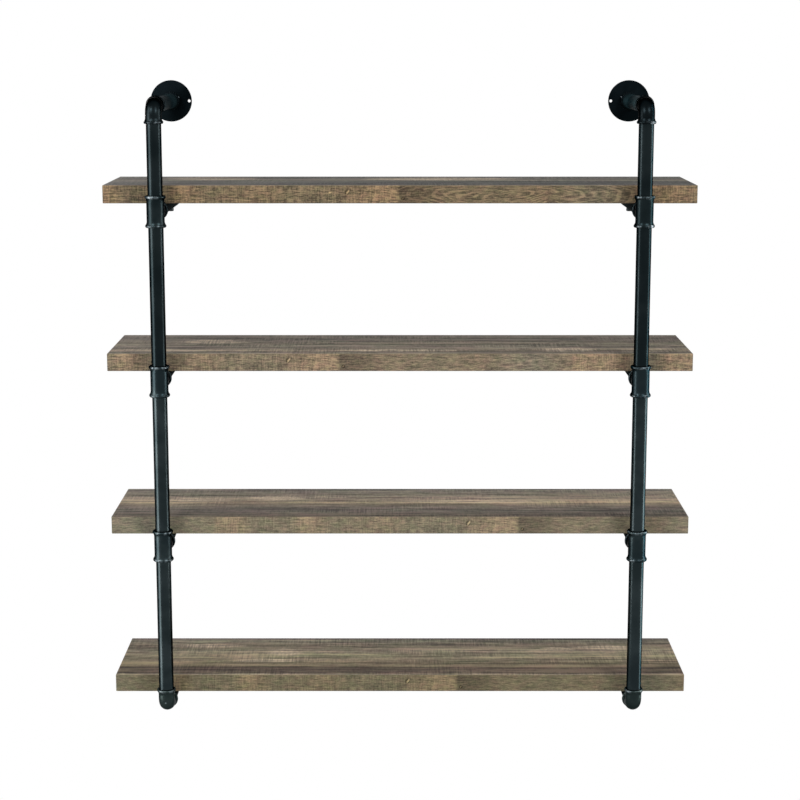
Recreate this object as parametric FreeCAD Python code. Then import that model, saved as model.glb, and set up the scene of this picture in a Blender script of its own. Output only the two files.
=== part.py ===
"""Wall bookshelf: four wooden boards on two standing pipes that hang from round wall flanges.

Millimetres. X runs along the boards, +Y points into the wall and +Z points up. The origin lies
in the wall plane, midway between the two wall flanges and at the height of their centres.
"""
import FreeCAD, Part
import math
import os

from FreeCAD import Placement, Rotation, Vector

# Boards
board_count = 4
board_length = 1000.0
board_depth = 190.0
board_thickness = 30.5
board_pitch = 287.0  # from one board to the next
board_edge_round = 1.2
board_overhang = 93.6  # from the axis of a post to the end of a board
board_wall_gap = 7.0  # from the back edge of a board to the wall
board_fitting_gap = 4.0  # from the front edge of a board to the fittings in front of it
groove_depth = 2.5  # how deep an arm lies in the underside of its board
groove_gap = 0.3

# Pipes
pipe_diameter = 25.4
pipe_wall = 1.8
spigot_step = 2.7  # how much less the radius of a necked end is than that of its pipe
spigot_length = 10.0
neck_wall = 2.0
first_arm_drop = 174.5  # from the flange centres down to the arms of the first board

# Sockets that the tees and the elbows share
collar_lip = 5.0
collar_lip_bulge = 1.3  # how far the rounded lip stands out past the wide end of the flare
collar_flare = 4.4
flare_middle_share = 0.34
mouth_depth = 2.2
mouth_widening = 1.4
seat_depth = 3.5
pipe_gap = 0.15
spigot_gap = 0.15
socket_bottom_gap = 0.8

# Tees
tee_wall = 2.3
tee_branch_wall = 2.0
tee_collar_step = 2.6
tee_passage_step = 3.2  # how much less the radius of the upright passage is than that of a pipe
tee_branch_passage_step = 4.0
tee_run_length = 26.6  # from the centre of the tee to the face of a collar
tee_branch_length = 31.0

# Elbows
elbow_wall = 1.0
elbow_collar_step = 2.5
elbow_throat_radius = 1.3
elbow_socket_length = 14.5  # from the end of the bend to the face of the collar
elbow_passage_step = 3.2  # how much less the radius of the bent passage is than that of a pipe

# Wall flanges
flange_diameter = 73.0
flange_thickness = 3.5
flange_edge_round = 0.8
flange_hole_diameter = 5.2
flange_hole_inset = 4.5  # from the rim to the middle of a hole
hub_wall = 2.6
hub_height = 10.0
hub_edge_round = 1.0

# Grub screws in the hubs
grub_diameter = 4.0
grub_proud = 1.2
grub_angle = 24.0  # above the level, on the side that faces the middle of the shelf
grub_hex_across = 2.0
grub_hex_depth = 1.0
grub_thread_gap = 0.05

# Screws that hold the boards
screw_diameter = 4.8
screw_head_diameter = 11.0
screw_head_height = 5.0
screw_head_round = 1.6
screw_in_board = 18.0
screw_tip_length = 4.0
screw_inset = 34.0  # from the front or back edge of a board
screw_hole_gap = 0.4
pilot_gap = 0.05
recess_width = 1.4
recess_span = 5.6
recess_depth = 2.2

# Plugs in the wall ends of the arms
plug_head_thickness = 3.0
plug_stem_length = 12.0
plug_stem_wall = 1.6
plug_gap = 0.1
plug_edge_round = 1.0

# How far a cutting shape runs past what it cuts
overrun = 5.0

# Turns
full_turn = 360.0
half_turn = 180.0
quarter_turn = 90.0
hex_sides = 6

# Radii that follow from the sizes above
pipe_radius = pipe_diameter / 2
pipe_bore_radius = pipe_radius - pipe_wall
spigot_radius = pipe_radius - spigot_step
spigot_bore_radius = spigot_radius - pipe_wall
pipe_hole_radius = pipe_radius + pipe_gap
spigot_hole_radius = spigot_radius + spigot_gap
tee_radius = pipe_radius + tee_wall
tee_branch_radius = pipe_radius + tee_branch_wall
tee_passage_radius = pipe_radius - tee_passage_step
tee_branch_passage_radius = pipe_radius - tee_branch_passage_step
elbow_radius = pipe_radius + elbow_wall
elbow_bend_radius = elbow_radius + elbow_throat_radius
elbow_passage_radius = pipe_radius - elbow_passage_step
elbow_leg_length = elbow_bend_radius + elbow_socket_length
hub_radius = pipe_hole_radius + hub_wall
grub_radius = grub_diameter / 2
screw_radius = screw_diameter / 2
screw_head_radius = screw_head_diameter / 2

# Places that follow from them
sides = {"left": -1, "right": 1}
levels = range(1, board_count + 1)
board_back_y = -board_wall_gap
board_front_y = board_back_y - board_depth
post_y = board_front_y - board_fitting_gap - max(tee_branch_length, elbow_leg_length)
arm_below_board = pipe_radius - groove_depth  # from the underside of a board to its arms' axes
screw_places_y = [board_front_y + screw_inset, board_back_y - screw_inset]
grub_y = -flange_thickness - hub_height / 2  # halfway up the hubs

X_AXIS = Vector(1, 0, 0)
Y_AXIS = Vector(0, 1, 0)
Z_AXIS = Vector(0, 0, 1)
HERE = Vector(0, 0, 0)


def post_x(side):
    """The X of a post."""
    return sides[side] * (board_length / 2 - board_overhang)


def arm_z(level):
    """The height of the axes of the arms that carry a board, counted from the top."""
    return -first_arm_drop - (level - 1) * board_pitch


def line(start, end):
    """A straight edge between two (radius, height) points."""
    return Part.LineSegment(Vector(start[0], 0, start[1]), Vector(end[0], 0, end[1])).toShape()


def arc(start, middle, end):
    """An arc through three (radius, height) points."""
    points = [Vector(radius, 0, height) for radius, height in (start, middle, end)]
    return Part.Arc(*points).toShape()


def outline(points):
    """The closed run of straight edges through a list of (radius, height) points."""
    return [line(a, b) for a, b in zip(points, points[1:] + points[:1])]


def turned(edges):
    """A solid of revolution about Z from the closed run of edges round half its section."""
    section = Part.Face(Part.Wire(edges))
    return section.revolve(HERE, Z_AXIS, full_turn).Solids[0]


def along_y(shape):
    """Turns a shape made along +Z so that it lies along +Y."""
    return shape.transformed(Placement(HERE, Rotation(X_AXIS, -quarter_turn)).Matrix)


def upside_down(shape):
    """Turns a shape half round about Y, so that what pointed up points down."""
    return shape.transformed(Placement(HERE, Rotation(Y_AXIS, half_turn)).Matrix)


def moved(shape, x, y, z):
    """A copy of a shape at another place."""
    return shape.transformed(Placement(Vector(x, y, z), Rotation()).Matrix)


def rounded_disc(radius, thickness, edge_round):
    """A disc on the plane of the wall that comes forward, with its front edge rounded."""
    disc = Part.makeCylinder(radius, thickness, HERE, -Y_AXIS)
    front_edge = min(disc.Edges, key=lambda edge: edge.BoundBox.YMax)
    return disc.makeFillet(edge_round, [front_edge])


def save(node, solids):
    """Writes one node: a single solid, or a group of like solids."""
    shape = solids[0] if len(solids) == 1 else Part.makeCompound(solids)
    shape.exportStep(os.path.join("parts", node + ".step"))


# Sockets: a length of body that ends in a flared collar with a rounded lip

def socket_body(body_radius, collar_step, start, face):
    """The outside of a socket about Z, from the height where it starts to its face."""
    lip_radius = body_radius + collar_step
    lip_half = collar_lip / 2
    lip_start = lip_radius - collar_lip_bulge
    lip_bottom = face - collar_lip
    flare_start = lip_bottom - collar_flare
    flare_middle = body_radius + flare_middle_share * (lip_start - body_radius)
    flare_half = (flare_start + lip_bottom) / 2
    return turned([
        line((0, start), (body_radius, start)),
        line((body_radius, start), (body_radius, flare_start)),
        arc((body_radius, flare_start), (flare_middle, flare_half), (lip_start, lip_bottom)),
        arc((lip_start, lip_bottom), (lip_radius, face - lip_half), (lip_start, face)),
        line((lip_start, face), (0, face)),
        line((0, face), (0, start)),
    ])


def socket_bore(face):
    """What is cut out of a socket: a mouth, a seat for the pipe and a bore for its spigot."""
    mouth_radius = pipe_hole_radius + mouth_widening
    seat = face - seat_depth
    bottom = seat - spigot_length - socket_bottom_gap
    return turned(outline([
        (0, bottom),
        (spigot_hole_radius, bottom),
        (spigot_hole_radius, seat),
        (pipe_hole_radius, seat),
        (pipe_hole_radius, face - mouth_depth),
        (mouth_radius, face),
        (mouth_radius, face + overrun),
        (0, face + overrun),
    ]))


def make_tee():
    """A tee about its own centre: the run along Z and the branch towards the wall."""
    upper = socket_body(tee_radius, tee_collar_step, 0, tee_run_length)
    branch = along_y(socket_body(tee_branch_radius, tee_collar_step, 0, tee_branch_length))
    body = upper.fuse([upside_down(upper), branch])
    run_bore = socket_bore(tee_run_length)
    branch_bore = along_y(socket_bore(tee_branch_length))
    seat = tee_run_length - seat_depth
    run_passage = Part.makeCylinder(tee_passage_radius, 2 * seat, Vector(0, 0, -seat))
    branch_passage = Part.makeCylinder(
        tee_branch_passage_radius, tee_branch_length - seat_depth, HERE, Y_AXIS
    )
    cuts = [run_bore, upside_down(run_bore), branch_bore, run_passage, branch_passage]
    return body.cut(cuts).removeSplitter().Solids[0]


def bend(radius):
    """A round bar of the given radius bent from Z to Y at the elbow's bend radius."""
    ring = Part.makeCircle(radius, Vector(0, 0, elbow_bend_radius), Z_AXIS)
    disc = Part.Face(Part.Wire(ring))
    centre = Vector(0, elbow_bend_radius, elbow_bend_radius)
    return disc.revolve(centre, X_AXIS, quarter_turn)


def make_elbow():
    """An elbow about the point where its axes meet: one leg up and one leg to the wall."""
    leg = socket_body(elbow_radius, elbow_collar_step, elbow_bend_radius, elbow_leg_length)
    body = bend(elbow_radius).fuse([leg, along_y(leg)])
    bore = socket_bore(elbow_leg_length)
    passage = Part.makeCylinder(
        elbow_passage_radius, elbow_socket_length, Vector(0, 0, elbow_bend_radius)
    )
    cuts = [bore, along_y(bore), passage, along_y(passage), bend(elbow_passage_radius)]
    return body.cut(cuts).removeSplitter().Solids[0]


# Pipes: hollow, with a necked spigot at each end that goes into a fitting

def make_pipe(start, end, spigot_at_end):
    """A pipe about Z between two seats, with a spigot at its start and maybe one at its end."""
    outer = [
        (spigot_bore_radius, start - spigot_length),
        (spigot_radius, start - spigot_length),
        (spigot_radius, start),
        (pipe_radius, start),
    ]
    inner = [(pipe_bore_radius, start + neck_wall), (spigot_bore_radius, start + neck_wall)]
    if spigot_at_end:
        outer += [
            (pipe_radius, end),
            (spigot_radius, end),
            (spigot_radius, end + spigot_length),
            (spigot_bore_radius, end + spigot_length),
            (spigot_bore_radius, end - neck_wall),
            (pipe_bore_radius, end - neck_wall),
        ]
    else:
        outer += [(pipe_radius, end), (pipe_bore_radius, end)]
    return turned(outline(outer + inner))


def drilled(arm):
    """An arm along Y with the two upright holes that its board screws pass through."""
    reach = pipe_radius + overrun
    holes = [
        Part.makeCylinder(screw_radius + screw_hole_gap, 2 * reach, Vector(0, place, -reach))
        for place in screw_places_y
    ]
    return arm.cut(holes).Solids[0]


# Board screws: they stand up from under an arm, go through it and bite into the board

def screw_shank(gap):
    """The shank of a board screw about the arm's axis, made larger all round by a gap."""
    radius = screw_radius + gap
    top = arm_below_board + screw_in_board + gap
    return turned(outline([
        (0, -pipe_radius),
        (radius, -pipe_radius),
        (radius, top - screw_tip_length),
        (0, top),
    ]))


def make_screw():
    """A board screw with a domed head and a cross recess, about the arm's axis."""
    low = -pipe_radius - screw_head_height
    round_top = low + screw_head_round
    flat_radius = screw_head_radius - screw_head_round
    round_offset = screw_head_round * math.sqrt(2) / 2
    head = turned([
        line((0, -pipe_radius), (screw_head_radius, -pipe_radius)),
        line((screw_head_radius, -pipe_radius), (screw_head_radius, round_top)),
        arc(
            (screw_head_radius, round_top),
            (flat_radius + round_offset, round_top - round_offset),
            (flat_radius, low),
        ),
        line((flat_radius, low), (0, low)),
        line((0, low), (0, -pipe_radius)),
    ])
    height = recess_depth + overrun
    half_span = recess_span / 2
    half_width = recess_width / 2
    start = low - overrun
    bars = [
        Part.makeBox(recess_span, recess_width, height, Vector(-half_span, -half_width, start)),
        Part.makeBox(recess_width, recess_span, height, Vector(-half_width, -half_span, start)),
    ]
    return head.fuse(screw_shank(0)).cut(bars).removeSplitter().Solids[0]


# Boards

def make_board():
    """A board in its own place in Y, with its underside at height zero."""
    corner = Vector(-board_length / 2, board_front_y, 0)
    board = Part.makeBox(board_length, board_depth, board_thickness, corner)
    board = board.makeFillet(board_edge_round, board.Edges)
    pilot = screw_shank(pilot_gap)
    cuts = []
    for side in sides:
        groove_start = Vector(post_x(side), board_front_y - overrun, -arm_below_board)
        cuts.append(Part.makeCylinder(
            pipe_radius + groove_gap, board_depth + 2 * overrun, groove_start, Y_AXIS
        ))
        for place in screw_places_y:
            cuts.append(moved(pilot, post_x(side), place, -arm_below_board))
    return board.cut(cuts).Solids[0]


# Wall flanges with a short hub each, and the grub screws that hold the top arms in them

def grub_direction(side):
    """The way out of a hub along its grub screw: inwards along the shelf and a little up."""
    angle = math.radians(grub_angle)
    return Vector(-sides[side] * math.cos(angle), 0, math.sin(angle))


def make_flange(side):
    """A wall flange about its own centre in the wall plane, with its hub towards the front."""
    disc = rounded_disc(flange_diameter / 2, flange_thickness, flange_edge_round)
    hub = rounded_disc(hub_radius, flange_thickness + hub_height, hub_edge_round)
    hub_bore = Part.makeCylinder(
        pipe_hole_radius, hub_height + overrun, Vector(0, -flange_thickness, 0), -Y_AXIS
    )
    grub_hole = Part.makeCylinder(
        grub_radius + grub_thread_gap, hub_radius + overrun, Vector(0, grub_y, 0), grub_direction(side)
    )
    screw_hole = Part.makeCylinder(
        flange_hole_diameter / 2, flange_thickness + 2 * overrun, Vector(0, overrun, 0), -Y_AXIS
    )
    hole_x = flange_diameter / 2 - flange_hole_inset
    screw_holes = [moved(screw_hole, way * hole_x, 0, 0) for way in sides.values()]
    return disc.fuse(hub).cut([hub_bore, grub_hole] + screw_holes).removeSplitter().Solids[0]


def make_grub_screw(side):
    """A grub screw from the pipe to a little proud of the hub, with a hexagon socket."""
    way_out = grub_direction(side)
    foot = Vector(0, grub_y, 0) + way_out * pipe_radius
    length = hub_radius - pipe_radius + grub_proud
    body = Part.makeCylinder(grub_radius, length, foot, way_out)
    corner_radius = grub_hex_across / 2 / math.cos(math.pi / hex_sides)
    corners = []
    for corner in range(hex_sides):
        angle = 2 * math.pi * corner / hex_sides
        corners.append(Vector(corner_radius * math.cos(angle), corner_radius * math.sin(angle), 0))
    hexagon = Part.Face(Part.makePolygon(corners + corners[:1]))
    socket = hexagon.extrude(Z_AXIS * (grub_hex_depth + overrun))
    socket_bottom = foot + way_out * (length - grub_hex_depth)
    socket = socket.transformed(Placement(socket_bottom, Rotation(Z_AXIS, way_out)).Matrix)
    return body.cut(socket).Solids[0]


# Plugs that close the wall ends of the arms and rest on the wall

def make_plug():
    """A plug whose head stands on the wall and whose hollow stem is in the end of its arm."""
    head = Part.makeCylinder(pipe_radius, plug_head_thickness, HERE, -Y_AXIS)
    wall_edge = max(head.Edges, key=lambda edge: edge.BoundBox.YMin)
    head = head.makeFillet(plug_edge_round, [wall_edge])
    stem_radius = pipe_bore_radius - plug_gap
    stem_start = Vector(0, -plug_head_thickness, 0)
    stem = Part.makeCylinder(stem_radius, plug_stem_length, stem_start, -Y_AXIS)
    hollow = Part.makeCylinder(
        stem_radius - plug_stem_wall, plug_stem_length, stem_start, -Y_AXIS
    )
    return head.fuse(stem).cut(hollow).removeSplitter().Solids[0]


# The parts are put together

os.makedirs("parts", exist_ok=True)

board = make_board()
for level in levels:
    save(f"shelf_board_{level}", [moved(board, 0, 0, arm_z(level) + arm_below_board)])

tee = make_tee()
elbow = make_elbow()
top_elbow = upside_down(elbow)
plug = make_plug()
screw = make_screw()

# The seats of the pipe ends, measured from the centre of a fitting
tee_seat = tee_run_length - seat_depth
branch_seat = tee_branch_length - seat_depth
elbow_seat = elbow_leg_length - seat_depth

top_arm = along_y(make_pipe(post_y + elbow_seat, -flange_thickness, False))
tee_arm = drilled(along_y(make_pipe(post_y + branch_seat, -plug_head_thickness, False)))
bottom_arm = drilled(along_y(make_pipe(post_y + elbow_seat, -plug_head_thickness, False)))

screws = []
grub_screws = []
for side in sides:
    x = post_x(side)
    save(f"{side}_wall_flange", [moved(make_flange(side), x, 0, 0)])
    save(f"{side}_top_arm", [moved(top_arm, x, 0, 0)])
    save(f"{side}_top_elbow", [moved(top_elbow, x, post_y, 0)])
    save(f"{side}_bottom_elbow", [moved(elbow, x, post_y, arm_z(board_count))])
    grub_screws.append(moved(make_grub_screw(side), x, 0, 0))
    for level in levels:
        height = arm_z(level)
        lowest = level == board_count
        post_start = height + (elbow_seat if lowest else tee_seat)
        post_end = arm_z(level - 1) - tee_seat if level > 1 else -elbow_seat
        post = make_pipe(post_start, post_end, True)
        save(f"{side}_post_pipe_{level}", [moved(post, x, post_y, 0)])
        save(f"{side}_arm_{level}", [moved(bottom_arm if lowest else tee_arm, x, 0, height)])
        save(f"{side}_arm_plug_{level}", [moved(plug, x, 0, height)])
        if not lowest:
            save(f"{side}_tee_{level}", [moved(tee, x, post_y, height)])
        for place in screw_places_y:
            screws.append(moved(screw, x, place, height))
save("board_screws", screws)
save("flange_grub_screws", grub_screws)
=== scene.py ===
import math

import bpy
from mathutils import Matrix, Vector


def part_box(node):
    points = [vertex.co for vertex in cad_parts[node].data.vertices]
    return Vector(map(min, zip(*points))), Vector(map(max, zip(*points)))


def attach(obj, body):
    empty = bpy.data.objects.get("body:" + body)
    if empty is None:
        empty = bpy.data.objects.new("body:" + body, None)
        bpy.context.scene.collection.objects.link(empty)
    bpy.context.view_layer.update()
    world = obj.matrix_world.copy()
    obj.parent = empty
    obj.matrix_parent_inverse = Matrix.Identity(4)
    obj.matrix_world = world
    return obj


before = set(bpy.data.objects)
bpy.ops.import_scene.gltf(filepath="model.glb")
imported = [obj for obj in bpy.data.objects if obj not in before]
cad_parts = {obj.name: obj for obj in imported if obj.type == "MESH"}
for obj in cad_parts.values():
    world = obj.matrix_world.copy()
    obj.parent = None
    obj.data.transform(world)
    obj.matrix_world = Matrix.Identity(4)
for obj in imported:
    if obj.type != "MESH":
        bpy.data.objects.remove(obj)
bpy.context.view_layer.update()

# Wall flanges: round plates of cast iron with two screw holes and a short hub, which hold the shelf
# to the wall. They are sprayed satin black, as all the iron of this shelf is, but a little duller.
# Lengths are in metres here, colours are as a screen shows them, and the front faces -Y.
MM = 0.001
SIDES = ("left", "right")


def shown(red, green, blue):
    """An sRGB colour, from 0 to 255, as the light that the shader works with."""
    parts = [channel / 255 for channel in (red, green, blue)]
    linear = [part / 12.92 if part <= 0.04045 else ((part + 0.055) / 1.055) ** 2.4 for part in parts]
    return (*linear, 1.0)


class Finish:
    """The finish of a surface, with its pattern written as sums on the place in the object."""

    def __init__(self, name):
        self.material = bpy.data.materials.new(name)
        self.material.use_nodes = True
        self.tree = self.material.node_tree
        self.shader = self.tree.nodes["Principled BSDF"]
        self.place = self.node("ShaderNodeTexCoord").outputs["Object"]
        self.facing = self.node("ShaderNodeNewGeometry").outputs["Normal"]

    def node(self, kind, feeds=(), **settings):
        """A new node with its settings, and each input fed by a socket or set to a value."""
        made = self.tree.nodes.new(kind)
        for name, value in settings.items():
            setattr(made, name, value)
        for socket, value in dict(feeds).items():
            if isinstance(value, bpy.types.NodeSocket):
                self.tree.links.new(value, made.inputs[socket])
            else:
                made.inputs[socket].default_value = value
        return made

    def sum(self, operation, first, second=0.0, third=0.0):
        """One step of arithmetic, such as ADD or MULTIPLY."""
        feeds = {0: first, 1: second, 2: third}
        return self.node("ShaderNodeMath", feeds, operation=operation).outputs[0]

    def step(self, value, low, high):
        """0 where value is at low, 1 where it is at high, smooth between them and level beyond."""
        feeds = {"Value": value, "From Min": low, "From Max": high}
        return self.node("ShaderNodeMapRange", feeds, interpolation_type="SMOOTHSTEP").outputs[0]

    def split(self, vector):
        return self.node("ShaderNodeSeparateXYZ", {0: vector}).outputs

    def noise(self, place, per_metre, detail=3.0, roughness=0.5, distortion=0.0):
        """Cloudy noise from 0 to 1, with its own number of spots in a metre along each axis."""
        scaled = self.node("ShaderNodeVectorMath", {0: place, 1: per_metre}, operation="MULTIPLY")
        feeds = {"Vector": scaled.outputs[0], "Scale": 1.0, "Detail": detail,
                 "Roughness": roughness, "Distortion": distortion}
        return self.node("ShaderNodeTexNoise", feeds).outputs["Fac"]

    def mix(self, share, first, second, blend="MIX"):
        """The first colour with a share of the second laid over it."""
        feeds = {0: share, 6: first, 7: second}
        return self.node("ShaderNodeMix", feeds, data_type="RGBA", blend_type=blend).outputs[2]

    def colour(self, value):
        self.tree.links.new(value, self.shader.inputs["Base Color"])

    def roughness(self, value):
        self.tree.links.new(value, self.shader.inputs["Roughness"])

    def bump(self, height, depth):
        """Raises the surface by up to depth where height is 1."""
        feeds = {"Height": height, "Distance": depth, "Strength": 1.0}
        normal = self.node("ShaderNodeBump", feeds).outputs[0]
        self.tree.links.new(normal, self.shader.inputs["Normal"])


# The pattern of the coat: its clouds and specks in spots to a metre, the width of a rubbed edge, how
# much each adds, and for each step the value where it begins and the value where it is full.
CLOUD_SPOTS, SPECK_SPOTS = (22, 22, 22), (900, 900, 900)
CLOUD_STEP = (0.35, 0.68)
EDGE_WIDTH, EDGE_STEP = 0.9 * MM, (0.992, 0.93)
RUBBED_STEP, WEAR_AND_GLINT_SHARE = (0.82, 1.12), 0.7
CLOUD_DULLNESS, SKIN_DULLNESS = 0.10, 0.06


def no_rim(coat):
    return 0.0


def black_coat(name, dark, light, worn_and_glint, dull, grain, grain_depth, edge_sheen=0.3, rim=no_rim):
    """Black coat on iron or steel: cloudy tone, a pebbled skin, and rubbed edges that show paler.

    The edge sheen is the share of its full gloss that the coat has where it is seen edge on. The rim is a
    function that gives 1 where a painted glint lies on a rounded rim, in the same paler colour as the
    rubbed edges."""
    coat = Finish(name)
    coat.shader.inputs["Metallic"].default_value = 1.0
    coat.shader.inputs["Specular Tint"].default_value = (edge_sheen, edge_sheen, edge_sheen, 1.0)
    clouds = coat.noise(coat.place, CLOUD_SPOTS, detail=4)
    skin = coat.noise(coat.place, grain, detail=3, roughness=0.6)
    specks = coat.noise(coat.place, SPECK_SPOTS, detail=1)
    tone = coat.mix(coat.step(clouds, *CLOUD_STEP), shown(*dark), shown(*light))
    rounded = coat.node("ShaderNodeBevel", {"Radius": EDGE_WIDTH}, samples=4).outputs[0]
    level = coat.node("ShaderNodeVectorMath", {0: rounded, 1: coat.facing}, operation="DOT_PRODUCT")
    edge = coat.step(level.outputs["Value"], *EDGE_STEP)
    wear_and_glint = coat.sum("MULTIPLY", edge, coat.step(coat.sum("ADD", skin, specks), *RUBBED_STEP))
    # Painted glints on the rims of collars, where the rim function gives them, are laid over the rubbed
    # edges in the same paler colour.
    wear_and_glint = coat.sum("MAXIMUM", wear_and_glint, rim(coat))
    coat.colour(coat.mix(coat.sum("MULTIPLY", wear_and_glint, WEAR_AND_GLINT_SHARE), tone, shown(*worn_and_glint)))
    patchy = coat.sum("MULTIPLY_ADD", clouds, CLOUD_DULLNESS, dull - CLOUD_DULLNESS / 2)
    coat.roughness(coat.sum("MULTIPLY_ADD", skin, SKIN_DULLNESS, patchy))
    coat.bump(skin, grain_depth)
    return coat.material


def finish_node(name, material):
    """Gives a CAD node its finish through its own material slots."""
    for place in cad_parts[name].material_slots:
        place.material = material


# Painted shade: the flanges' tones are darker than the rest of the iron's, for the dark that their front
# faces reflect.
flange_coat = black_coat("flange_black_coat", dark=(5, 9, 11), light=(12, 18, 21), worn_and_glint=(50, 58, 60),
                         dull=0.46, grain=(420, 420, 420), grain_depth=0.08 * MM, edge_sheen=0.15)
for side in SIDES:
    finish_node(f"{side}_wall_flange", flange_coat)


# Grub screws: small set screws of bare steel, one in the hub of each flange, which keep the top
# pipe from turning. They were put in after the coat was sprayed, so they are paler than the iron.
BRIGHT_STEEL_GRAIN = (1500, 1500, 1500)
grub_steel = black_coat("grub_screw_steel", dark=(50, 57, 61), light=(76, 83, 87), worn_and_glint=(130, 136, 138),
                        dull=0.30, grain=BRIGHT_STEEL_GRAIN, grain_depth=0.03 * MM)
finish_node("flange_grub_screws", grub_steel)


# Pipes: drawn steel tube in satin black, with faint streaks along it from the drawing. The top arms
# and the arms below the boards run along Y, and the lengths of post between the fittings along Z.
BOARD_NUMBERS = (1, 2, 3, 4)
UPPER_POSTS = (1, 2)
ACROSS, ALONG = 700, 24
POST_GRAIN, ARM_GRAIN = (ACROSS, ACROSS, ALONG), (ACROSS, ALONG, ACROSS)


def pipe_finish(name, dark, light, dull, grain, edge_sheen):
    return black_coat(name, dark, light, worn_and_glint=(70, 78, 80), dull=dull, grain=grain,
                      grain_depth=0.02 * MM, edge_sheen=edge_sheen)


# Painted shade and light: these are one paint, given darker tones on the upper posts and lighter on the
# lower posts, darker on the arms under the boards for the shade there, and lighter on the top arms.
upper_post_coat = pipe_finish("upper_post_black_coat", (20, 27, 29), (28, 35, 37), 0.23, POST_GRAIN, 0.3)
lower_post_coat = pipe_finish("lower_post_black_coat", (31, 39, 41), (41, 49, 51), 0.23, POST_GRAIN, 0.3)
top_arm_coat = pipe_finish("top_arm_black_coat", (28, 42, 46), (45, 61, 65), 0.40, ARM_GRAIN, 0.28)
arm_coat = pipe_finish("arm_black_coat", (18, 26, 28), (30, 40, 42), 0.60, ARM_GRAIN, 0.20)
for side in SIDES:
    finish_node(f"{side}_top_arm", top_arm_coat)
    for number in BOARD_NUMBERS:
        post_coat = upper_post_coat if number in UPPER_POSTS else lower_post_coat
        finish_node(f"{side}_post_pipe_{number}", post_coat)
        finish_node(f"{side}_arm_{number}", arm_coat)


# Elbows and tees: malleable iron castings with flared collars, in the same black over the rougher skin that
# sand leaves. Broken patches of painted glint lie on the front of the collars' rims, and the coats are
# painted darker higher up and lighter lower down for the shade and light there, so the top elbows are
# darkest.
TEE_NUMBERS = (1, 2, 3)
SAND_GRAIN = (330, 330, 330)

# The painted glints on the rims: how far from the post's axis they start, how softly, how far behind the
# axis they fade out, and the patches that they break into.
TEE_GLINT_RIM, ELBOW_GLINT_RIM = 16.7 * MM, 15.6 * MM
RIM_SOFTNESS = 0.3 * MM
RIM_BACK_STEP = (9 * MM, 4 * MM)
RIM_SPOTS, RIM_PATCH_STEP = (130, 130, 50), (0.46, 0.62)
post_low, post_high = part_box("right_post_pipe_1")
post_axis = (post_low + post_high) / 2


def painted_rim_glint(coat, radius):
    """1 in broken patches of painted glint along the front of the rims of collars that stand round a post,
    out past a radius.
    """
    x, y, z = coat.split(coat.place)
    aside = coat.sum("SUBTRACT", coat.sum("ABSOLUTE", x), post_axis.x)
    behind = coat.sum("SUBTRACT", y, post_axis.y)
    from_axis = coat.sum("SQRT", coat.sum("ADD", coat.sum("MULTIPLY", aside, aside),
                                          coat.sum("MULTIPLY", behind, behind)))
    rim = coat.sum("MULTIPLY", coat.step(from_axis, radius - RIM_SOFTNESS, radius + RIM_SOFTNESS),
                   coat.step(behind, *RIM_BACK_STEP))
    patches = coat.step(coat.noise(coat.place, RIM_SPOTS, detail=2), *RIM_PATCH_STEP)
    return coat.sum("MULTIPLY", rim, patches)


def tee_rim_glint(coat):
    return painted_rim_glint(coat, TEE_GLINT_RIM)


def elbow_rim_glint(coat):
    return painted_rim_glint(coat, ELBOW_GLINT_RIM)


def fitting_finish(name, dark, light, dull, edge_sheen, rim):
    return black_coat(name, dark, light, worn_and_glint=(84, 93, 97), dull=dull, grain=SAND_GRAIN,
                      grain_depth=0.06 * MM, edge_sheen=edge_sheen, rim=rim)


# Painted shade and light: these are one paint, given darker tones for the top elbows and first tees and
# lighter ones for the lower tees and bottom elbows.
top_elbow_coat = fitting_finish("top_elbow_black_coat", (12, 17, 19), (22, 28, 30), 0.29, 0.2, elbow_rim_glint)
first_tee_coat = fitting_finish("first_tee_black_coat", (21, 29, 31), (31, 39, 41), 0.30, 0.2, tee_rim_glint)
tee_coat = fitting_finish("tee_black_coat", (28, 37, 40), (41, 50, 52), 0.29, 0.2, tee_rim_glint)
bottom_elbow_coat = fitting_finish("bottom_elbow_black_coat", (32, 41, 41), (46, 55, 54), 0.36, 0.45,
                                   elbow_rim_glint)
for side in SIDES:
    finish_node(f"{side}_top_elbow", top_elbow_coat)
    finish_node(f"{side}_bottom_elbow", bottom_elbow_coat)
    for number in TEE_NUMBERS:
        finish_node(f"{side}_tee_{number}", first_tee_coat if number == 1 else tee_coat)


# Casting dot: the low round stub that a vent of the mould leaves on the outer bend of the left bottom
# elbow, ground off short. It is one with the iron, and its coat is paler than the elbow's.
DOT_RADIUS = 1.4 * MM
DOT_LENGTH = 2.2 * MM
DOT_ROUNDING = 0.6 * MM
DOT_HEIGHT = 23 * MM
DOT_SIDES, DOT_ROUNDING_STEPS = 24, 4
DOT_SMOOTHING = math.radians(40)
END_FACING = 0.9
elbow_low, elbow_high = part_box("left_bottom_elbow")
elbow_middle = (elbow_low + elbow_high) / 2
in_front = Vector((elbow_middle.x, elbow_low.y - DOT_LENGTH, elbow_low.z + DOT_HEIGHT))
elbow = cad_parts["left_bottom_elbow"]
dot_seat, outwards = elbow.ray_cast(in_front, Vector((0, 1, 0)))[1:3]
bpy.ops.object.select_all(action="DESELECT")
bpy.ops.mesh.primitive_cylinder_add(vertices=DOT_SIDES, radius=DOT_RADIUS, depth=DOT_LENGTH,
                                    location=dot_seat,
                                    rotation=outwards.to_track_quat("Z", "Y").to_euler())
casting_dot = bpy.context.object
casting_dot.name = "left_bottom_elbow_casting_dot"
for face in casting_dot.data.polygons:
    face.select = face.normal.z > END_FACING
bpy.ops.object.mode_set(mode="EDIT")
bpy.ops.mesh.select_mode(type="FACE")
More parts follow.
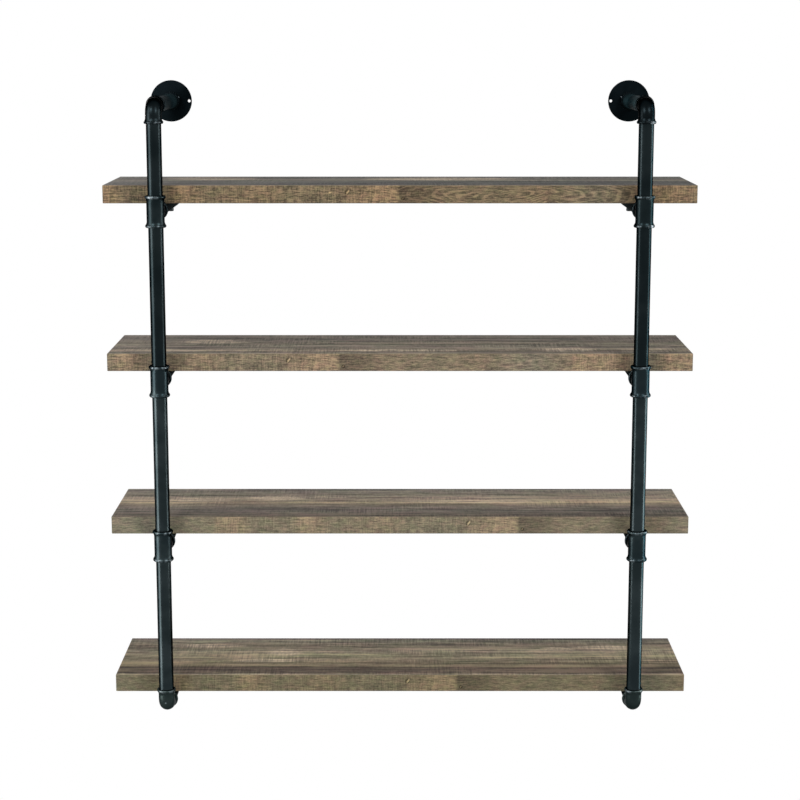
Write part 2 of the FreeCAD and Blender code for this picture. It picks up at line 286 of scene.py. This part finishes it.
bpy.ops.mesh.bevel(offset=DOT_ROUNDING, segments=DOT_ROUNDING_STEPS, affect="EDGES")
bpy.ops.object.mode_set(mode="OBJECT")
bpy.ops.object.transform_apply(location=True, rotation=True, scale=True)
bpy.ops.object.shade_smooth_by_angle(angle=DOT_SMOOTHING)
dot_coat = fitting_finish("casting_dot_pale_coat", (68, 79, 81), (92, 104, 106), 0.30, 0.45, no_rim)
casting_dot.data.materials.append(dot_coat)
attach(casting_dot, "root")


# Plugs: caps of black plastic that close the ends of the arms at the wall and keep the raw pipe
# off it. They are moulded with a fine matt grain and pushed in by hand.
plug_plastic = black_coat("plug_black_plastic", dark=(30, 31, 32), light=(40, 41, 42), worn_and_glint=(70, 71, 72),
                          dull=0.55, grain=(1100, 1100, 1100), grain_depth=0.04 * MM)
plug_plastic.node_tree.nodes["Principled BSDF"].inputs["Metallic"].default_value = 0.0
for side in SIDES:
    for number in BOARD_NUMBERS:
        finish_node(f"{side}_arm_plug_{number}", plug_plastic)


# Boards: particle board with a printed wood look, pressed on as a sheet above and below and as a
# band along the edges. The sheet shows long strips of old timber, and the band short sawn planks.
# Every board is cut from another place of the same print.
GREY_GREEN = (126, 114, 93)
TAN = (131, 115, 93)
PEACH = (141, 122, 98)
OLIVE = (121, 110, 90)
OLIVE_GREY = (123, 115, 97)
UMBER = (101, 90, 74)
BROWN = (124, 110, 90)
# A painted highlight for the rounded upper front edge of each board.
EDGE_HIGHLIGHT = (152, 138, 119)
KNOT_RING = (52, 43, 33)
KNOT_TICK = (200, 176, 136)
SAWDUST = (172, 156, 136)
WOOD_GLOSS = 0.06
WOOD_DULLNESS, TONE_DULLNESS = 0.68, -0.12
PRINT_DEPTH = 0.10 * MM
OVAL_STEP = (1.0, 0.2)


class PrintedWood(Finish):
    """A finish with the tools that a print of wood needs."""

    def between(self, value, low, high, soft):
        """1 from low to high, and 0 outside, with soft edges."""
        rising = self.step(value, low - soft, low + soft)
        falling = self.step(value, high - soft, high + soft)
        return self.sum("SUBTRACT", rising, falling)

    def join(self, x, y, z=0.0):
        return self.node("ShaderNodeCombineXYZ", {0: x, 1: y, 2: z}).outputs[0]

    def ramp(self, value, stops):
        """A run of colours, as a list of (share of the way, colour)."""
        made = self.node("ShaderNodeValToRGB", {0: value})
        elements = made.color_ramp.elements
        while len(elements) < len(stops):
            elements.new(1.0)
        for element, (share, colour) in zip(elements, stops):
            element.position = share
            element.color = colour
        return made.outputs[0]

    def tinted(self, tint, other):
        """A tint multiplied by another colour."""
        return self.mix(1.0, tint, other, blend="MULTIPLY")

    def swing(self, place, per_metre, strength, detail=2, roughness=0.55, distortion=0.0):
        """Noise that swings about 0 by a strength."""
        noise = self.noise(place, per_metre, detail, roughness, distortion)
        return self.sum("MULTIPLY_ADD", noise, strength, -strength / 2)

    def total(self, *parts):
        added = parts[0]
        for part in parts[1:]:
            added = self.sum("ADD", added, part)
        return added

    def oval(self, along, across, centre, half, slant=0.0):
        """1 in the middle of an oval, falling to 0 at its rim."""
        off_across = self.sum("SUBTRACT", across, centre[1])
        off_along = self.sum("SUBTRACT", along, centre[0])
        leaned = self.sum("MULTIPLY_ADD", off_across, slant, off_along)
        first = self.sum("POWER", self.sum("ABSOLUTE", self.sum("DIVIDE", leaned, half[0])), 2.0)
        second = self.sum("POWER", self.sum("ABSOLUTE", self.sum("DIVIDE", off_across, half[1])), 2.0)
        return self.step(self.sum("ADD", first, second), *OVAL_STEP)


# Faint drifts of the tint towards green and towards mauve, and the shades that the tone gives.
HUES = ((0.32, (0.94, 1.03, 0.95, 1.0)), (0.5, (1.0, 1.0, 1.0, 1.0)), (0.68, (1.07, 0.97, 1.03, 1.0)))
SHADES = ((0.0, (0.48, 0.49, 0.52, 1.0)), (0.5, (1.0, 1.0, 1.0, 1.0)), (1.0, (1.66, 1.60, 1.50, 1.0)))

# The band's tints by the distance from its knot, and where its planks end.
BAND_START, BAND_LENGTH = -0.66, 1.40
PLANK_ENDS = (-0.437, 0.085, 0.487)
PLANK_JOINT = 0.3 * MM
BAND = (
    (-0.66, GREY_GREEN), (-0.55, OLIVE_GREY), (-0.4375, GREY_GREEN), (-0.4365, TAN), (-0.395, PEACH),
    (-0.375, OLIVE), (-0.31, OLIVE), (-0.285, PEACH), (-0.255, TAN), (-0.235, OLIVE), (-0.14, TAN),
    (-0.10, OLIVE), (-0.03, OLIVE), (0.0, BROWN), (0.02, TAN), (0.05, PEACH), (0.0845, PEACH),
    (0.0855, UMBER), (0.12, UMBER), (0.16, BROWN), (0.25, OLIVE), (0.33, BROWN), (0.42, OLIVE_GREY),
    (0.4865, BROWN), (0.4875, PEACH), (0.545, PEACH), (0.575, TAN), (0.61, OLIVE_GREY), (0.63, OLIVE),
    (0.65, PEACH), (0.74, TAN),
)

# The grain of the band: spots to a metre along and across it, and how strongly they swing. The
# columns are strong on sawn planks only, and the rows lose a little on the waved one.
BAND_HUE_SPOTS = (55, 90, 1)
SAW_COLUMNS, WIDE_COLUMNS = ((470, 36, 1), 1.4), ((120, 14, 1), 0.6)
GRAIN_ROWS, FINE_ROWS, PORES = ((30, 330, 1), 1.95), ((110, 520, 1), 1.85), ((430, 430, 1), 0.9)
BAND_CLOUDS = ((22, 60, 1), 0.6)
COLUMN_TONE, COLUMN_GROUND = 0.8, 0.2
ROW_LOSS = -0.2

# The growth rings on the waved plank: how they bend and where they centre, how much they are drawn
# out along it, where wear has taken them away, and how they add to the tone.
RING_BENDS = ((7, 26, 1), 0.034)
RING_CENTRE, RING_STRETCH = 0.26, 0.12
RINGS = {"Scale": 125.0, "Distortion": 2.0, "Detail": 2.0, "Detail Scale": 1.2, "Detail Roughness": 0.6}
RING_STEP = (0.55, 0.95)
RING_WEAR_SPOTS, RING_WEAR_STEP = (18, 120, 1), (0.32, 0.58)
RING_TONE, RING_GROUND = 0.50, -0.12

# The knots: the middle along and across from the band's own knot, half the size, and the slant.
KNOT = ((0.0, 3.5 * MM), (5 * MM, 6 * MM))
SMALL_KNOT = ((94 * MM, -7 * MM), (4 * MM, 3.5 * MM))
KNOT_EYE = ((1 * MM, 3.5 * MM), (2.2 * MM, 4.6 * MM), -0.5)
SMALL_KNOT_EYE = ((94 * MM, -7 * MM), (1.3 * MM, 2.0 * MM), -0.4)
FLECK = ((-28 * MM, 3.5 * MM), (3.2 * MM, 1.8 * MM), -0.9)
KNOT_EYE_SHARE, SMALL_KNOT_EYE_SHARE, FLECK_SHARE = 0.85, 0.4, 0.7
KNOT_SPOTS, KNOT_STEP = (520, 520, 1), (0.36, 0.6)
KNOT_PATCH, KNOT_GROUND = 0.5, 0.35


def edge_band(wood, along, across, ring_contrast):
    """The band along the edges: its tint, and its tone, which is 0 at the middle."""
    share = wood.sum("DIVIDE", wood.sum("SUBTRACT", along, BAND_START), BAND_LENGTH)
    tint = wood.ramp(share, [((at - BAND_START) / BAND_LENGTH, shown(*colour)) for at, colour in BAND])
    place = wood.join(along, across)
    drift = wood.noise(place, BAND_HUE_SPOTS, detail=3, roughness=0.6)
    tint = wood.tinted(tint, wood.ramp(drift, HUES))

    smooth_end, waved_start, waved_end = PLANK_ENDS
    waved = wood.between(along, waved_start, waved_end, PLANK_JOINT)
    smooth = wood.step(along, smooth_end + PLANK_JOINT, smooth_end - PLANK_JOINT)
    sawn = wood.sum("SUBTRACT", 1.0, wood.sum("ADD", waved, smooth))
    columns = wood.sum("ADD", wood.swing(place, *SAW_COLUMNS, roughness=0.6),
                       wood.swing(place, *WIDE_COLUMNS))
    rows = wood.total(wood.swing(place, *GRAIN_ROWS, detail=3, roughness=0.6),
                      wood.swing(place, *FINE_ROWS), wood.swing(place, *PORES, detail=1))
    clouds = wood.swing(place, *BAND_CLOUDS, detail=4, roughness=0.6, distortion=0.4)

    ring_place = wood.join(wood.sum("MULTIPLY", wood.sum("SUBTRACT", along, RING_CENTRE), RING_STRETCH),
                           wood.sum("ADD", across, wood.swing(place, *RING_BENDS)))
    rings = wood.node("ShaderNodeTexWave", {"Vector": ring_place, **RINGS}, wave_type="RINGS",
                      rings_direction="Z").outputs["Fac"]
    kept = wood.step(wood.noise(place, RING_WEAR_SPOTS, detail=3), *RING_WEAR_STEP)
    rings = wood.sum("MULTIPLY", wood.step(rings, *RING_STEP), kept)
    rings = wood.sum("MULTIPLY_ADD", rings, RING_TONE * ring_contrast, RING_GROUND * ring_contrast)
    column_share = wood.sum("MULTIPLY_ADD", sawn, COLUMN_TONE, COLUMN_GROUND)
    row_share = wood.sum("MULTIPLY_ADD", waved, ROW_LOSS * ring_contrast, 1.0)
    tone = wood.total(wood.sum("MULTIPLY", columns, column_share), wood.sum("MULTIPLY", rings, waved),
                      wood.sum("MULTIPLY", rows, row_share), clouds)

    broken = wood.step(wood.noise(place, KNOT_SPOTS, detail=1), *KNOT_STEP)
    broken = wood.sum("MULTIPLY_ADD", broken, KNOT_PATCH, KNOT_GROUND)
    dark = wood.sum("MAXIMUM", wood.oval(along, across, *KNOT), wood.oval(along, across, *SMALL_KNOT))
    tint = wood.mix(wood.sum("MULTIPLY", dark, broken), tint, shown(*KNOT_RING))
    pale = 0.0
    for mark, mark_share in ((KNOT_EYE, KNOT_EYE_SHARE), (SMALL_KNOT_EYE, SMALL_KNOT_EYE_SHARE),
                             (FLECK, FLECK_SHARE * ring_contrast ** 2)):
        pale_mark = wood.sum("MULTIPLY", wood.oval(along, across, *mark), mark_share)
        pale = wood.sum("MAXIMUM", pale, pale_mark)
    return wood.mix(pale, tint, shown(*KNOT_TICK)), tone


# The grain of the sheet, in the same way: how its strips wander and its pale patches fray, its saw
# marks and specks, where it is sawn, and its streaks from the longest to the shortest.
SHEET_HUE_SPOTS = (16, 34, 1)
STRIP_WANDER, PATCH_FRAY = ((3.2, 9, 1), 0.06), ((14, 150, 1), 0.07)
SAW_SPOTS, SHEET_SPECKS, MARK_STEP = (330, 14, 1), (200, 160, 1), (0.30, 0.70)
SAWN_SPOTS, SAWN_STEP = (5, 22, 1), (0.44, 0.60)
SAW_TONE, SAW_GROUND = 0.4, -0.19
PATCH_MARKS, PATCH_GROUND, PATCH_SHARE = 0.6, 0.4, 0.8
LONGEST_STREAKS, LONG_STREAKS = ((1.7, 44, 1), 1.9), ((5, 130, 1), 1.9)
STREAKS, BLOTCHES, SHORT_MARKS = ((26, 330, 1), 1.4), ((70, 90, 1), 0.6), ((240, 60, 1), 0.5)


def face_sheet(wood, x, y, depth, strips, shift, patches):
    """The sheet above and below: its tint, and its tone, which is 0 at the middle."""
    place = wood.join(wood.sum("ADD", x, shift), y)
    wander = wood.swing(place, *STRIP_WANDER, detail=3)
    tint = wood.ramp(wood.sum("ADD", depth, wander), [(share, shown(*colour)) for share, colour in strips])
    drift = wood.noise(place, SHEET_HUE_SPOTS, detail=3, roughness=0.6)
    tint = wood.tinted(tint, wood.ramp(drift, HUES))

    saw = wood.step(wood.noise(place, SAW_SPOTS, detail=2, roughness=0.55), *MARK_STEP)
    specks = wood.step(wood.noise(place, SHEET_SPECKS, detail=2), *MARK_STEP)
    frayed = wood.sum("ADD", x, wood.swing(place, *PATCH_FRAY, detail=3))
    pale = 0.0
    for centre, share, half_length, half_share, combed in patches:
        patch = wood.oval(frayed, depth, (centre, share), (half_length, half_share))
        marks = wood.sum("MULTIPLY_ADD", saw if combed else specks, PATCH_MARKS, PATCH_GROUND)
        pale = wood.sum("MAXIMUM", pale, wood.sum("MULTIPLY", patch, marks))
    tint = wood.mix(wood.sum("MULTIPLY", pale, PATCH_SHARE), tint, shown(*SAWDUST))

    sawn = wood.step(wood.noise(place, SAWN_SPOTS, detail=3), *SAWN_STEP)
    tone = wood.total(wood.swing(place, *LONGEST_STREAKS, detail=4, roughness=0.6, distortion=0.3),
                      wood.swing(place, *LONG_STREAKS, detail=3, roughness=0.6, distortion=0.2),
                      wood.swing(place, *STREAKS, detail=3, roughness=0.6),
                      wood.swing(place, *BLOTCHES, detail=3, roughness=0.6),
                      wood.swing(place, *SHORT_MARKS),
                      wood.sum("MULTIPLY", wood.sum("MULTIPLY_ADD", saw, SAW_TONE, SAW_GROUND), sawn))
    return tint, tone


# Where a board's faces count as its edges and as its ends, where the print is cut for the ends, and the
# painted highlight along the rounded upper front edge.
UPRIGHT_STEP, END_STEP = (0.75, 0.65), (0.65, 0.75)
END_CUT = 0.31
EDGE_LINE, EDGE_LINE_FRONT_STEP, EDGE_LINE_SHARE = (0.35, 0.94, 0.06), (0.1, -0.2), 0.35


def printed_wood(number, knot, strips, shift, patches, band_contrast, ring_contrast, sheet_contrast, hue):
    """The print on one board. The band's knot is at x = knot, and the sheet is cut at shift.

    The hue is what this board's band has of each of red, green and blue, beside the usual print."""
    low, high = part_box(f"shelf_board_{number}")
    wood = PrintedWood(f"board_{number}_printed_wood")
    wood.shader.inputs["Specular IOR Level"].default_value = WOOD_GLOSS
    x, y, z = wood.split(wood.place)
    facing_x, facing_y, facing_z = wood.split(wood.facing)
    upright = wood.step(wood.sum("ABSOLUTE", facing_z), *UPRIGHT_STEP)
    endwise = wood.step(wood.sum("ABSOLUTE", facing_x), *END_STEP)
    lengthwise = wood.sum("SUBTRACT", 1.0, endwise)
    along = wood.sum("ADD", wood.sum("MULTIPLY", lengthwise, wood.sum("SUBTRACT", x, knot)),
                     wood.sum("MULTIPLY", endwise, wood.sum("ADD", y, END_CUT)))
    across = wood.sum("SUBTRACT", z, (low.z + high.z) / 2)
    depth = wood.sum("DIVIDE", wood.sum("SUBTRACT", high.y, y), high.y - low.y)
    band, band_tone = edge_band(wood, along, across, ring_contrast)
    band = wood.tinted(band, (*hue, 1.0))
    sheet, sheet_tone = face_sheet(wood, x, y, depth, strips, shift, patches)
    band_share = wood.sum("MULTIPLY", upright, band_contrast)
    sheet_share = wood.sum("MULTIPLY", wood.sum("SUBTRACT", 1.0, upright), sheet_contrast)
    tone = wood.total(wood.sum("MULTIPLY", band_tone, band_share),
                      wood.sum("MULTIPLY", sheet_tone, sheet_share), 0.5)
    tint = wood.tinted(wood.mix(upright, sheet, band), wood.ramp(tone, SHADES))
    # A painted highlight along the rounded upper front edge, on the front edge only and not the back one.
    edge_highlight = wood.sum("MULTIPLY", wood.between(facing_z, *EDGE_LINE),
                         wood.step(facing_y, *EDGE_LINE_FRONT_STEP))
    wood.colour(wood.mix(wood.sum("MULTIPLY", edge_highlight, EDGE_LINE_SHARE), tint, shown(*EDGE_HIGHLIGHT)))
    wood.roughness(wood.sum("MULTIPLY_ADD", tone, TONE_DULLNESS, WOOD_DULLNESS))
    wood.bump(tone, PRINT_DEPTH)
    return wood.material


# The strips of each sheet, as shares of the depth from the wall, and its pale patches: place along
# the board, share of the depth, half the length, half the depth, and whether saw marks comb it.
SHEETS = {
    1: ((0.0, (78, 76, 72)), (0.15, (76, 75, 72)), (0.33, (83, 78, 71)), (0.5, (87, 84, 73)),
        (0.58, (60, 58, 54)), (0.80, (57, 56, 53)), (0.93, (61, 58, 55)), (1.0, (82, 75, 67))),
    2: ((0.0, (84, 79, 71)), (0.10, (88, 81, 73)), (0.24, (72, 67, 61)), (0.30, (90, 82, 73)),
        (0.45, (100, 92, 79)), (0.58, (105, 98, 84)), (0.70, (97, 89, 79)), (0.76, (115, 105, 90)),
        (0.86, (127, 115, 98)), (0.90, (113, 102, 89)), (0.925, (74, 67, 60)), (0.94, (74, 67, 60)),
        (0.955, (105, 97, 84)), (1.0, (107, 98, 85))),
    3: ((0.0, (101, 96, 89)), (0.15, (108, 101, 90)), (0.25, (116, 108, 94)), (0.36, (136, 123, 108)),
        (0.45, (142, 128, 109)), (0.515, (153, 137, 113)), (0.545, (120, 109, 92)), (0.60, (107, 97, 84)),
        (0.70, (105, 96, 87)), (0.82, (95, 88, 80)), (0.90, (86, 78, 69)), (1.0, (73, 65, 56))),
    4: ((0.0, (91, 83, 78)), (0.045, (97, 89, 83)), (0.07, (118, 113, 98)), (0.18, (110, 101, 87)),
        (0.28, (109, 100, 85)), (0.35, (134, 124, 106)), (0.5, (135, 126, 103)), (0.6, (126, 115, 96)),
        (0.68, (122, 112, 90)), (0.79, (105, 94, 77)), (0.805, (80, 69, 59)), (0.96, (91, 79, 68)),
        (0.98, (129, 118, 101)), (1.0, (134, 124, 106))),
}
PATCHES = {
    1: ((0.07, 0.3, 0.16, 0.2, False), (-0.33, 0.25, 0.10, 0.2, False)),
    2: ((-0.33, 0.38, 0.07, 0.12, True), (0.0, 0.83, 0.13, 0.09, True), (-0.37, 0.86, 0.04, 0.06, False),
        (0.29, 0.80, 0.06, 0.12, True)),
    3: ((-0.35, 0.42, 0.07, 0.10, False), (-0.22, 0.36, 0.06, 0.13, False), (0.13, 0.47, 0.18, 0.05, False),
        (-0.13, 0.33, 0.05, 0.06, True)),
    4: ((-0.21, 0.40, 0.04, 0.12, False), (-0.35, 0.22, 0.08, 0.06, True), (-0.24, 0.63, 0.07, 0.06, True),
        (0.29, 0.31, 0.04, 0.07, False), (0.38, 0.27, 0.07, 0.07, True)),
}
# The knot's place, the sheet's cut, the contrast of the band, its rings and the sheet, and the hue.
PRINTS = {1: (-0.089, 0.0, 1.32, 1.0, 1.4, (0.81, 0.78, 0.735)),
          2: (-0.191, 1.3, 1.02, 0.35, 1.5, (0.99, 1.00, 1.04)),
          3: (0.118, 2.9, 0.78, 0.35, 1.2, (1.05, 1.12, 1.17)),
          4: (0.013, 4.2, 0.76, 0.3, 1.2, (0.89, 0.95, 0.91))}
for number, (knot, shift, band_contrast, ring_contrast, sheet_contrast, hue) in PRINTS.items():
    print_finish = printed_wood(number, knot, SHEETS[number], shift, PATCHES[number],
                                band_contrast, ring_contrast, sheet_contrast, hue)
    finish_node(f"shelf_board_{number}", print_finish)


# Board screws: pan-head screws driven up through the arms into the boards, with a cross recess and
# black zinc on the steel. Two hold each arm.
screw_steel = black_coat("screw_black_zinc", dark=(30, 35, 37), light=(46, 52, 54), worn_and_glint=(120, 124, 125),
                         dull=0.30, grain=BRIGHT_STEEL_GRAIN, grain_depth=0.03 * MM)
finish_node("board_screws", screw_steel)


# The room: a pale floor below the shelf and a white surround, both white to the camera and in gloss.
# Two high lamps in front and one behind light the shelf, and the panels beside and behind it are
# seen only in the gloss of the metal. Under the shelf the floor keeps some of its own shade.
FLOOR_LEVEL, FLOOR_SIZE = -1.75, 14
FLOOR_TONE = (232, 232, 232)
FLOOR_GLOSS, FLOOR_DULLNESS = 0.1, 0.9
FLOOR_FADE_STEP, FLOOR_FADE, FLOOR_WHITE = (0.4, 1.0), 0.6, 0.4
bpy.ops.object.select_all(action="DESELECT")
bpy.ops.mesh.primitive_plane_add(size=FLOOR_SIZE, location=(0, 0, FLOOR_LEVEL))
floor = bpy.context.object
floor.name = "floor"
floor_paint = Finish("floor_pale_paint")
floor_paint.shader.inputs["Specular IOR Level"].default_value = FLOOR_GLOSS
floor_paint.shader.inputs["Roughness"].default_value = FLOOR_DULLNESS
floor_paint.shader.inputs["Base Color"].default_value = shown(*FLOOR_TONE)
paths = floor_paint.node("ShaderNodeLightPath").outputs
seen = floor_paint.sum("MAXIMUM", paths["Is Camera Ray"],
                       floor_paint.sum("MAXIMUM", paths["Is Glossy Ray"], paths["Is Transmission Ray"]))
from_foot = floor_paint.node("ShaderNodeVectorMath", {0: floor_paint.place}, operation="LENGTH")
whiteness = floor_paint.step(from_foot.outputs["Value"], *FLOOR_FADE_STEP)
whiteness = floor_paint.sum("MULTIPLY_ADD", whiteness, FLOOR_FADE, FLOOR_WHITE)
white = floor_paint.node("ShaderNodeEmission").outputs[0]
blend = floor_paint.node("ShaderNodeMixShader", {
    0: floor_paint.sum("MULTIPLY", seen, whiteness), 1: floor_paint.shader.outputs[0], 2: white})
floor_paint.tree.links.new(blend.outputs[0], floor_paint.tree.nodes["Material Output"].inputs["Surface"])
floor.data.materials.append(floor_paint.material)

AMBIENT = 0.36
world = bpy.data.worlds.new("white_surround")
bpy.context.scene.world = world
world.use_nodes = True
sky = world.node_tree.nodes["Background"]
sky.inputs["Color"].default_value = (1, 1, 1, 1)
paths = world.node_tree.nodes.new("ShaderNodeLightPath").outputs


def world_sum(operation, first, second):
    made = world.node_tree.nodes.new("ShaderNodeMath")
    made.operation = operation
    for socket, value in zip(made.inputs, (first, second)):
        if isinstance(value, bpy.types.NodeSocket):
            world.node_tree.links.new(value, socket)
        else:
            socket.default_value = value
    return made.outputs[0]


seen = world_sum("MAXIMUM", paths["Is Camera Ray"],
                 world_sum("MAXIMUM", paths["Is Glossy Ray"], paths["Is Transmission Ray"]))
strength = world_sum("ADD", world_sum("MULTIPLY", seen, 1 - AMBIENT), AMBIENT)
world.node_tree.links.new(strength, sky.inputs["Strength"])

# Each lamp: its place, width, height and watts.
MIDDLE = Vector((0, -0.12, -0.5))
HIGH_LAMPS = {"left_high_lamp": ((-1.5, -2.1, 1.3), 0.9, 0.9, 45),
              "right_high_lamp": ((1.5, -2.1, 1.3), 0.9, 0.9, 45)}
BACK_LAMP = ((0, 2.6, -0.6), 1.5, 1.5, 30)
PANELS = {"left_side_panel": ((-0.97, -0.48, -0.4), 0.30, 1.7, 18),
          "right_side_panel": ((1.02, -0.13, -0.4), 0.30, 1.7, 26),
          "rim_panel": ((-1.15, 0.92, 0.30), 0.60, 0.8, 15)}
PANEL_COLOUR = (1.0, 0.90, 0.87)
PANEL_AIM = -0.23


def soft_lamp(name, target, place, width, height, watts):
    light = bpy.data.lights.new(name, "AREA")
    light.shape = "RECTANGLE"
    light.size, light.size_y, light.energy = width, height, watts
    lamp = bpy.data.objects.new(name, light)
    bpy.context.scene.collection.objects.link(lamp)
    lamp.location = place
    lamp.rotation_euler = (Vector(target) - Vector(place)).to_track_quat("-Z", "Y").to_euler()
    lamp.visible_camera = False
    return lamp


for name, lamp_values in HIGH_LAMPS.items():
    soft_lamp(name, MIDDLE, *lamp_values)
back_lamp = soft_lamp("back_lamp", MIDDLE, *BACK_LAMP)
back_lamp.visible_glossy = False
for name, (place, *panel_values) in PANELS.items():
    panel = soft_lamp(name, (0, PANEL_AIM, place[2]), place, *panel_values)
    panel.data.color = PANEL_COLOUR
    panel.visible_diffuse = False


# The camera: straight in front of the shelf, a little above the flanges, and tipped down to hold
# the whole shelf. Its picture is shifted a little, as that of the photograph is.
CAMERA_PLACE = (0, -3.112, 0.106)
CAMERA_TILT = math.radians(80.6)
CAMERA_LENS = 78.17
CAMERA_SHIFT = -0.09
camera = bpy.data.objects.new("camera", bpy.data.cameras.new("camera"))
bpy.context.scene.collection.objects.link(camera)
bpy.context.scene.camera = camera
camera.location = CAMERA_PLACE
camera.rotation_euler = (CAMERA_TILT, 0, 0)
camera.data.lens = CAMERA_LENS
camera.data.shift_y = CAMERA_SHIFT

bpy.context.scene.view_settings.view_transform = "Standard"
